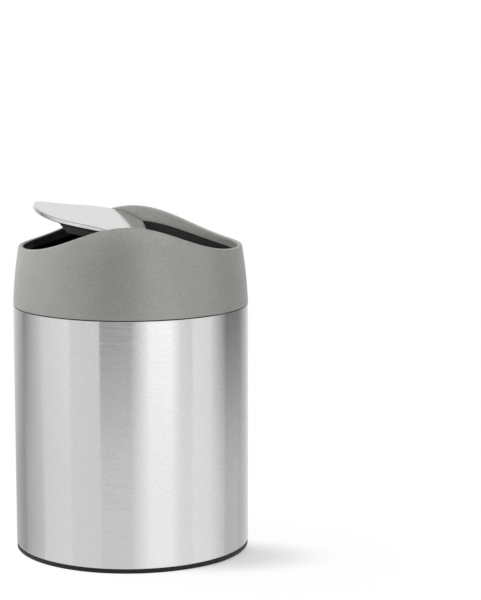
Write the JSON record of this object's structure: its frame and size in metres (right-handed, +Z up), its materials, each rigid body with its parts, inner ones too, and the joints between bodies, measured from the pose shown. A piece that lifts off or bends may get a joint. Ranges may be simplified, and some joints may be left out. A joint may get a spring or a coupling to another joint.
{
  "type": "countertop bin",
  "caption": "Small round countertop bin: brushed steel body on a black base, lift-off grey collar with a wavy rim and a two-way steel swing lid, and an inner bucket.",
  "frame": {"origin": "centre of the base, on the surface that the bin stands on", "axes": "+Z up, +Y from the pictured front to the rear along the lid's pivot line, +X to the side that is pushed down in the picture"},
  "size_m": [0.122, 0.122, 0.1809],
  "materials": {
    "brushed_steel": "brushed round the body",
    "lid_steel": "satin, nearly polished",
    "plain_steel": "turned and zinc plated",
    "warm_grey_plastic": "fine moulded grain",
    "black_plastic": "satin moulded",
    "bucket_plastic": "smooth moulded",
    "bush_plastic": "machined look",
    "rubber": "matt"
  },
  "bodies": {
    "can": {"sleeve": "brushed_steel", "base_pan": "black_plastic", "anti_slip_ring": "rubber", "top_ring": "black_plastic"},
    "bucket": {"inner_bucket": "bucket_plastic"},
    "collar": {"collar_shell": "warm_grey_plastic", "collar_liner": "black_plastic", "grip_ring": "rubber", "pivot_pin_front": "plain_steel", "pivot_pin_rear": "plain_steel", "stop_pad_front": "rubber", "stop_pad_rear": "rubber"},
    "lid": {"lid_skin": "lid_steel", "lid_frame": "black_plastic", "lid_cover": "black_plastic", "lid_weight_left": "plain_steel", "lid_weight_right": "plain_steel", "pivot_bush_front": "bush_plastic", "pivot_bush_rear": "bush_plastic", "lid_screws": "plain_steel"}
  },
  "joints": [
    {"name": "collar_lift", "type": "slide", "parent": "can", "child": "collar", "axis": [0, 0, 1], "range_m": [0, 0.28]},
    {"name": "bucket_lift", "type": "slide", "parent": "can", "child": "bucket", "axis": [0, 0, 1], "range_m": [0, 0.14]},
    {"name": "lid_swing", "type": "hinge", "parent": "collar", "child": "lid", "pos_m": [0, 0, 0.163], "axis": [0, 1, 0], "range_deg": [-95, 35]}
  ],
  "couplings": [
    {"joint": "bucket_lift", "follows": "collar_lift", "ratio": 0.5}
  ]
}
